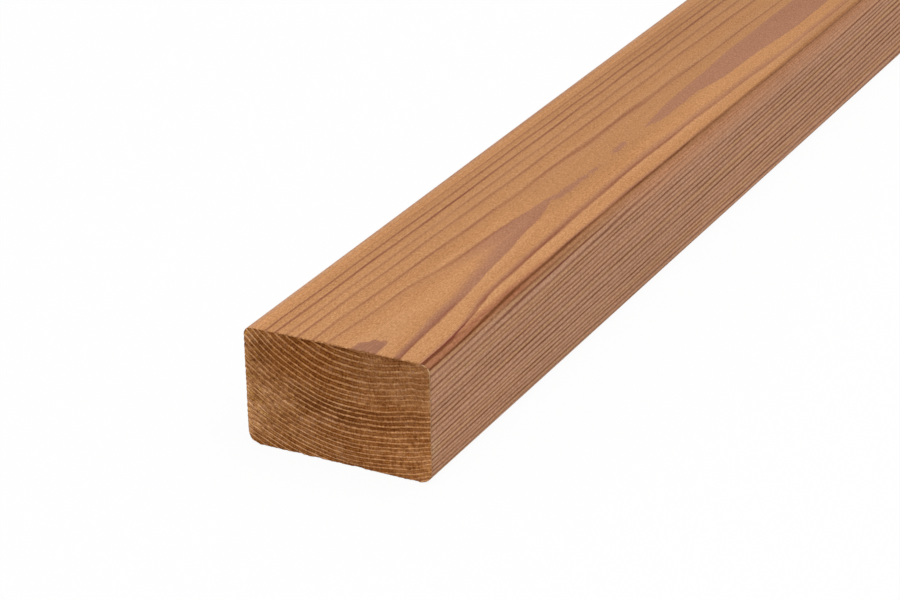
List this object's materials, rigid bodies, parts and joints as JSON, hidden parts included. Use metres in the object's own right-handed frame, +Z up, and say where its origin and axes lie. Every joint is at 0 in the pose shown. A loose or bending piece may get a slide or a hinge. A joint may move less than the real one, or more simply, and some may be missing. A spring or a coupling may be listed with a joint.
{
  "type": "timber plank",
  "caption": "Planed softwood plank of rectangular section with rounded long arrises and square saw-cut ends, lying on its wide face.",
  "frame": {"origin": "centre of the wide bottom face that the plank lies on", "axes": "+X along the grain and the length, +Y across the width, +Z up through the thickness; the saw-cut end that the picture shows is the -X end and the narrow face that it shows is the -Y face"},
  "size_m": [1.8, 0.068, 0.042],
  "materials": {
    "heat_treated_pine": "planed, unfinished"
  },
  "bodies": {
    "root": {"plank": "heat_treated_pine"}
  },
  "joints": []
}
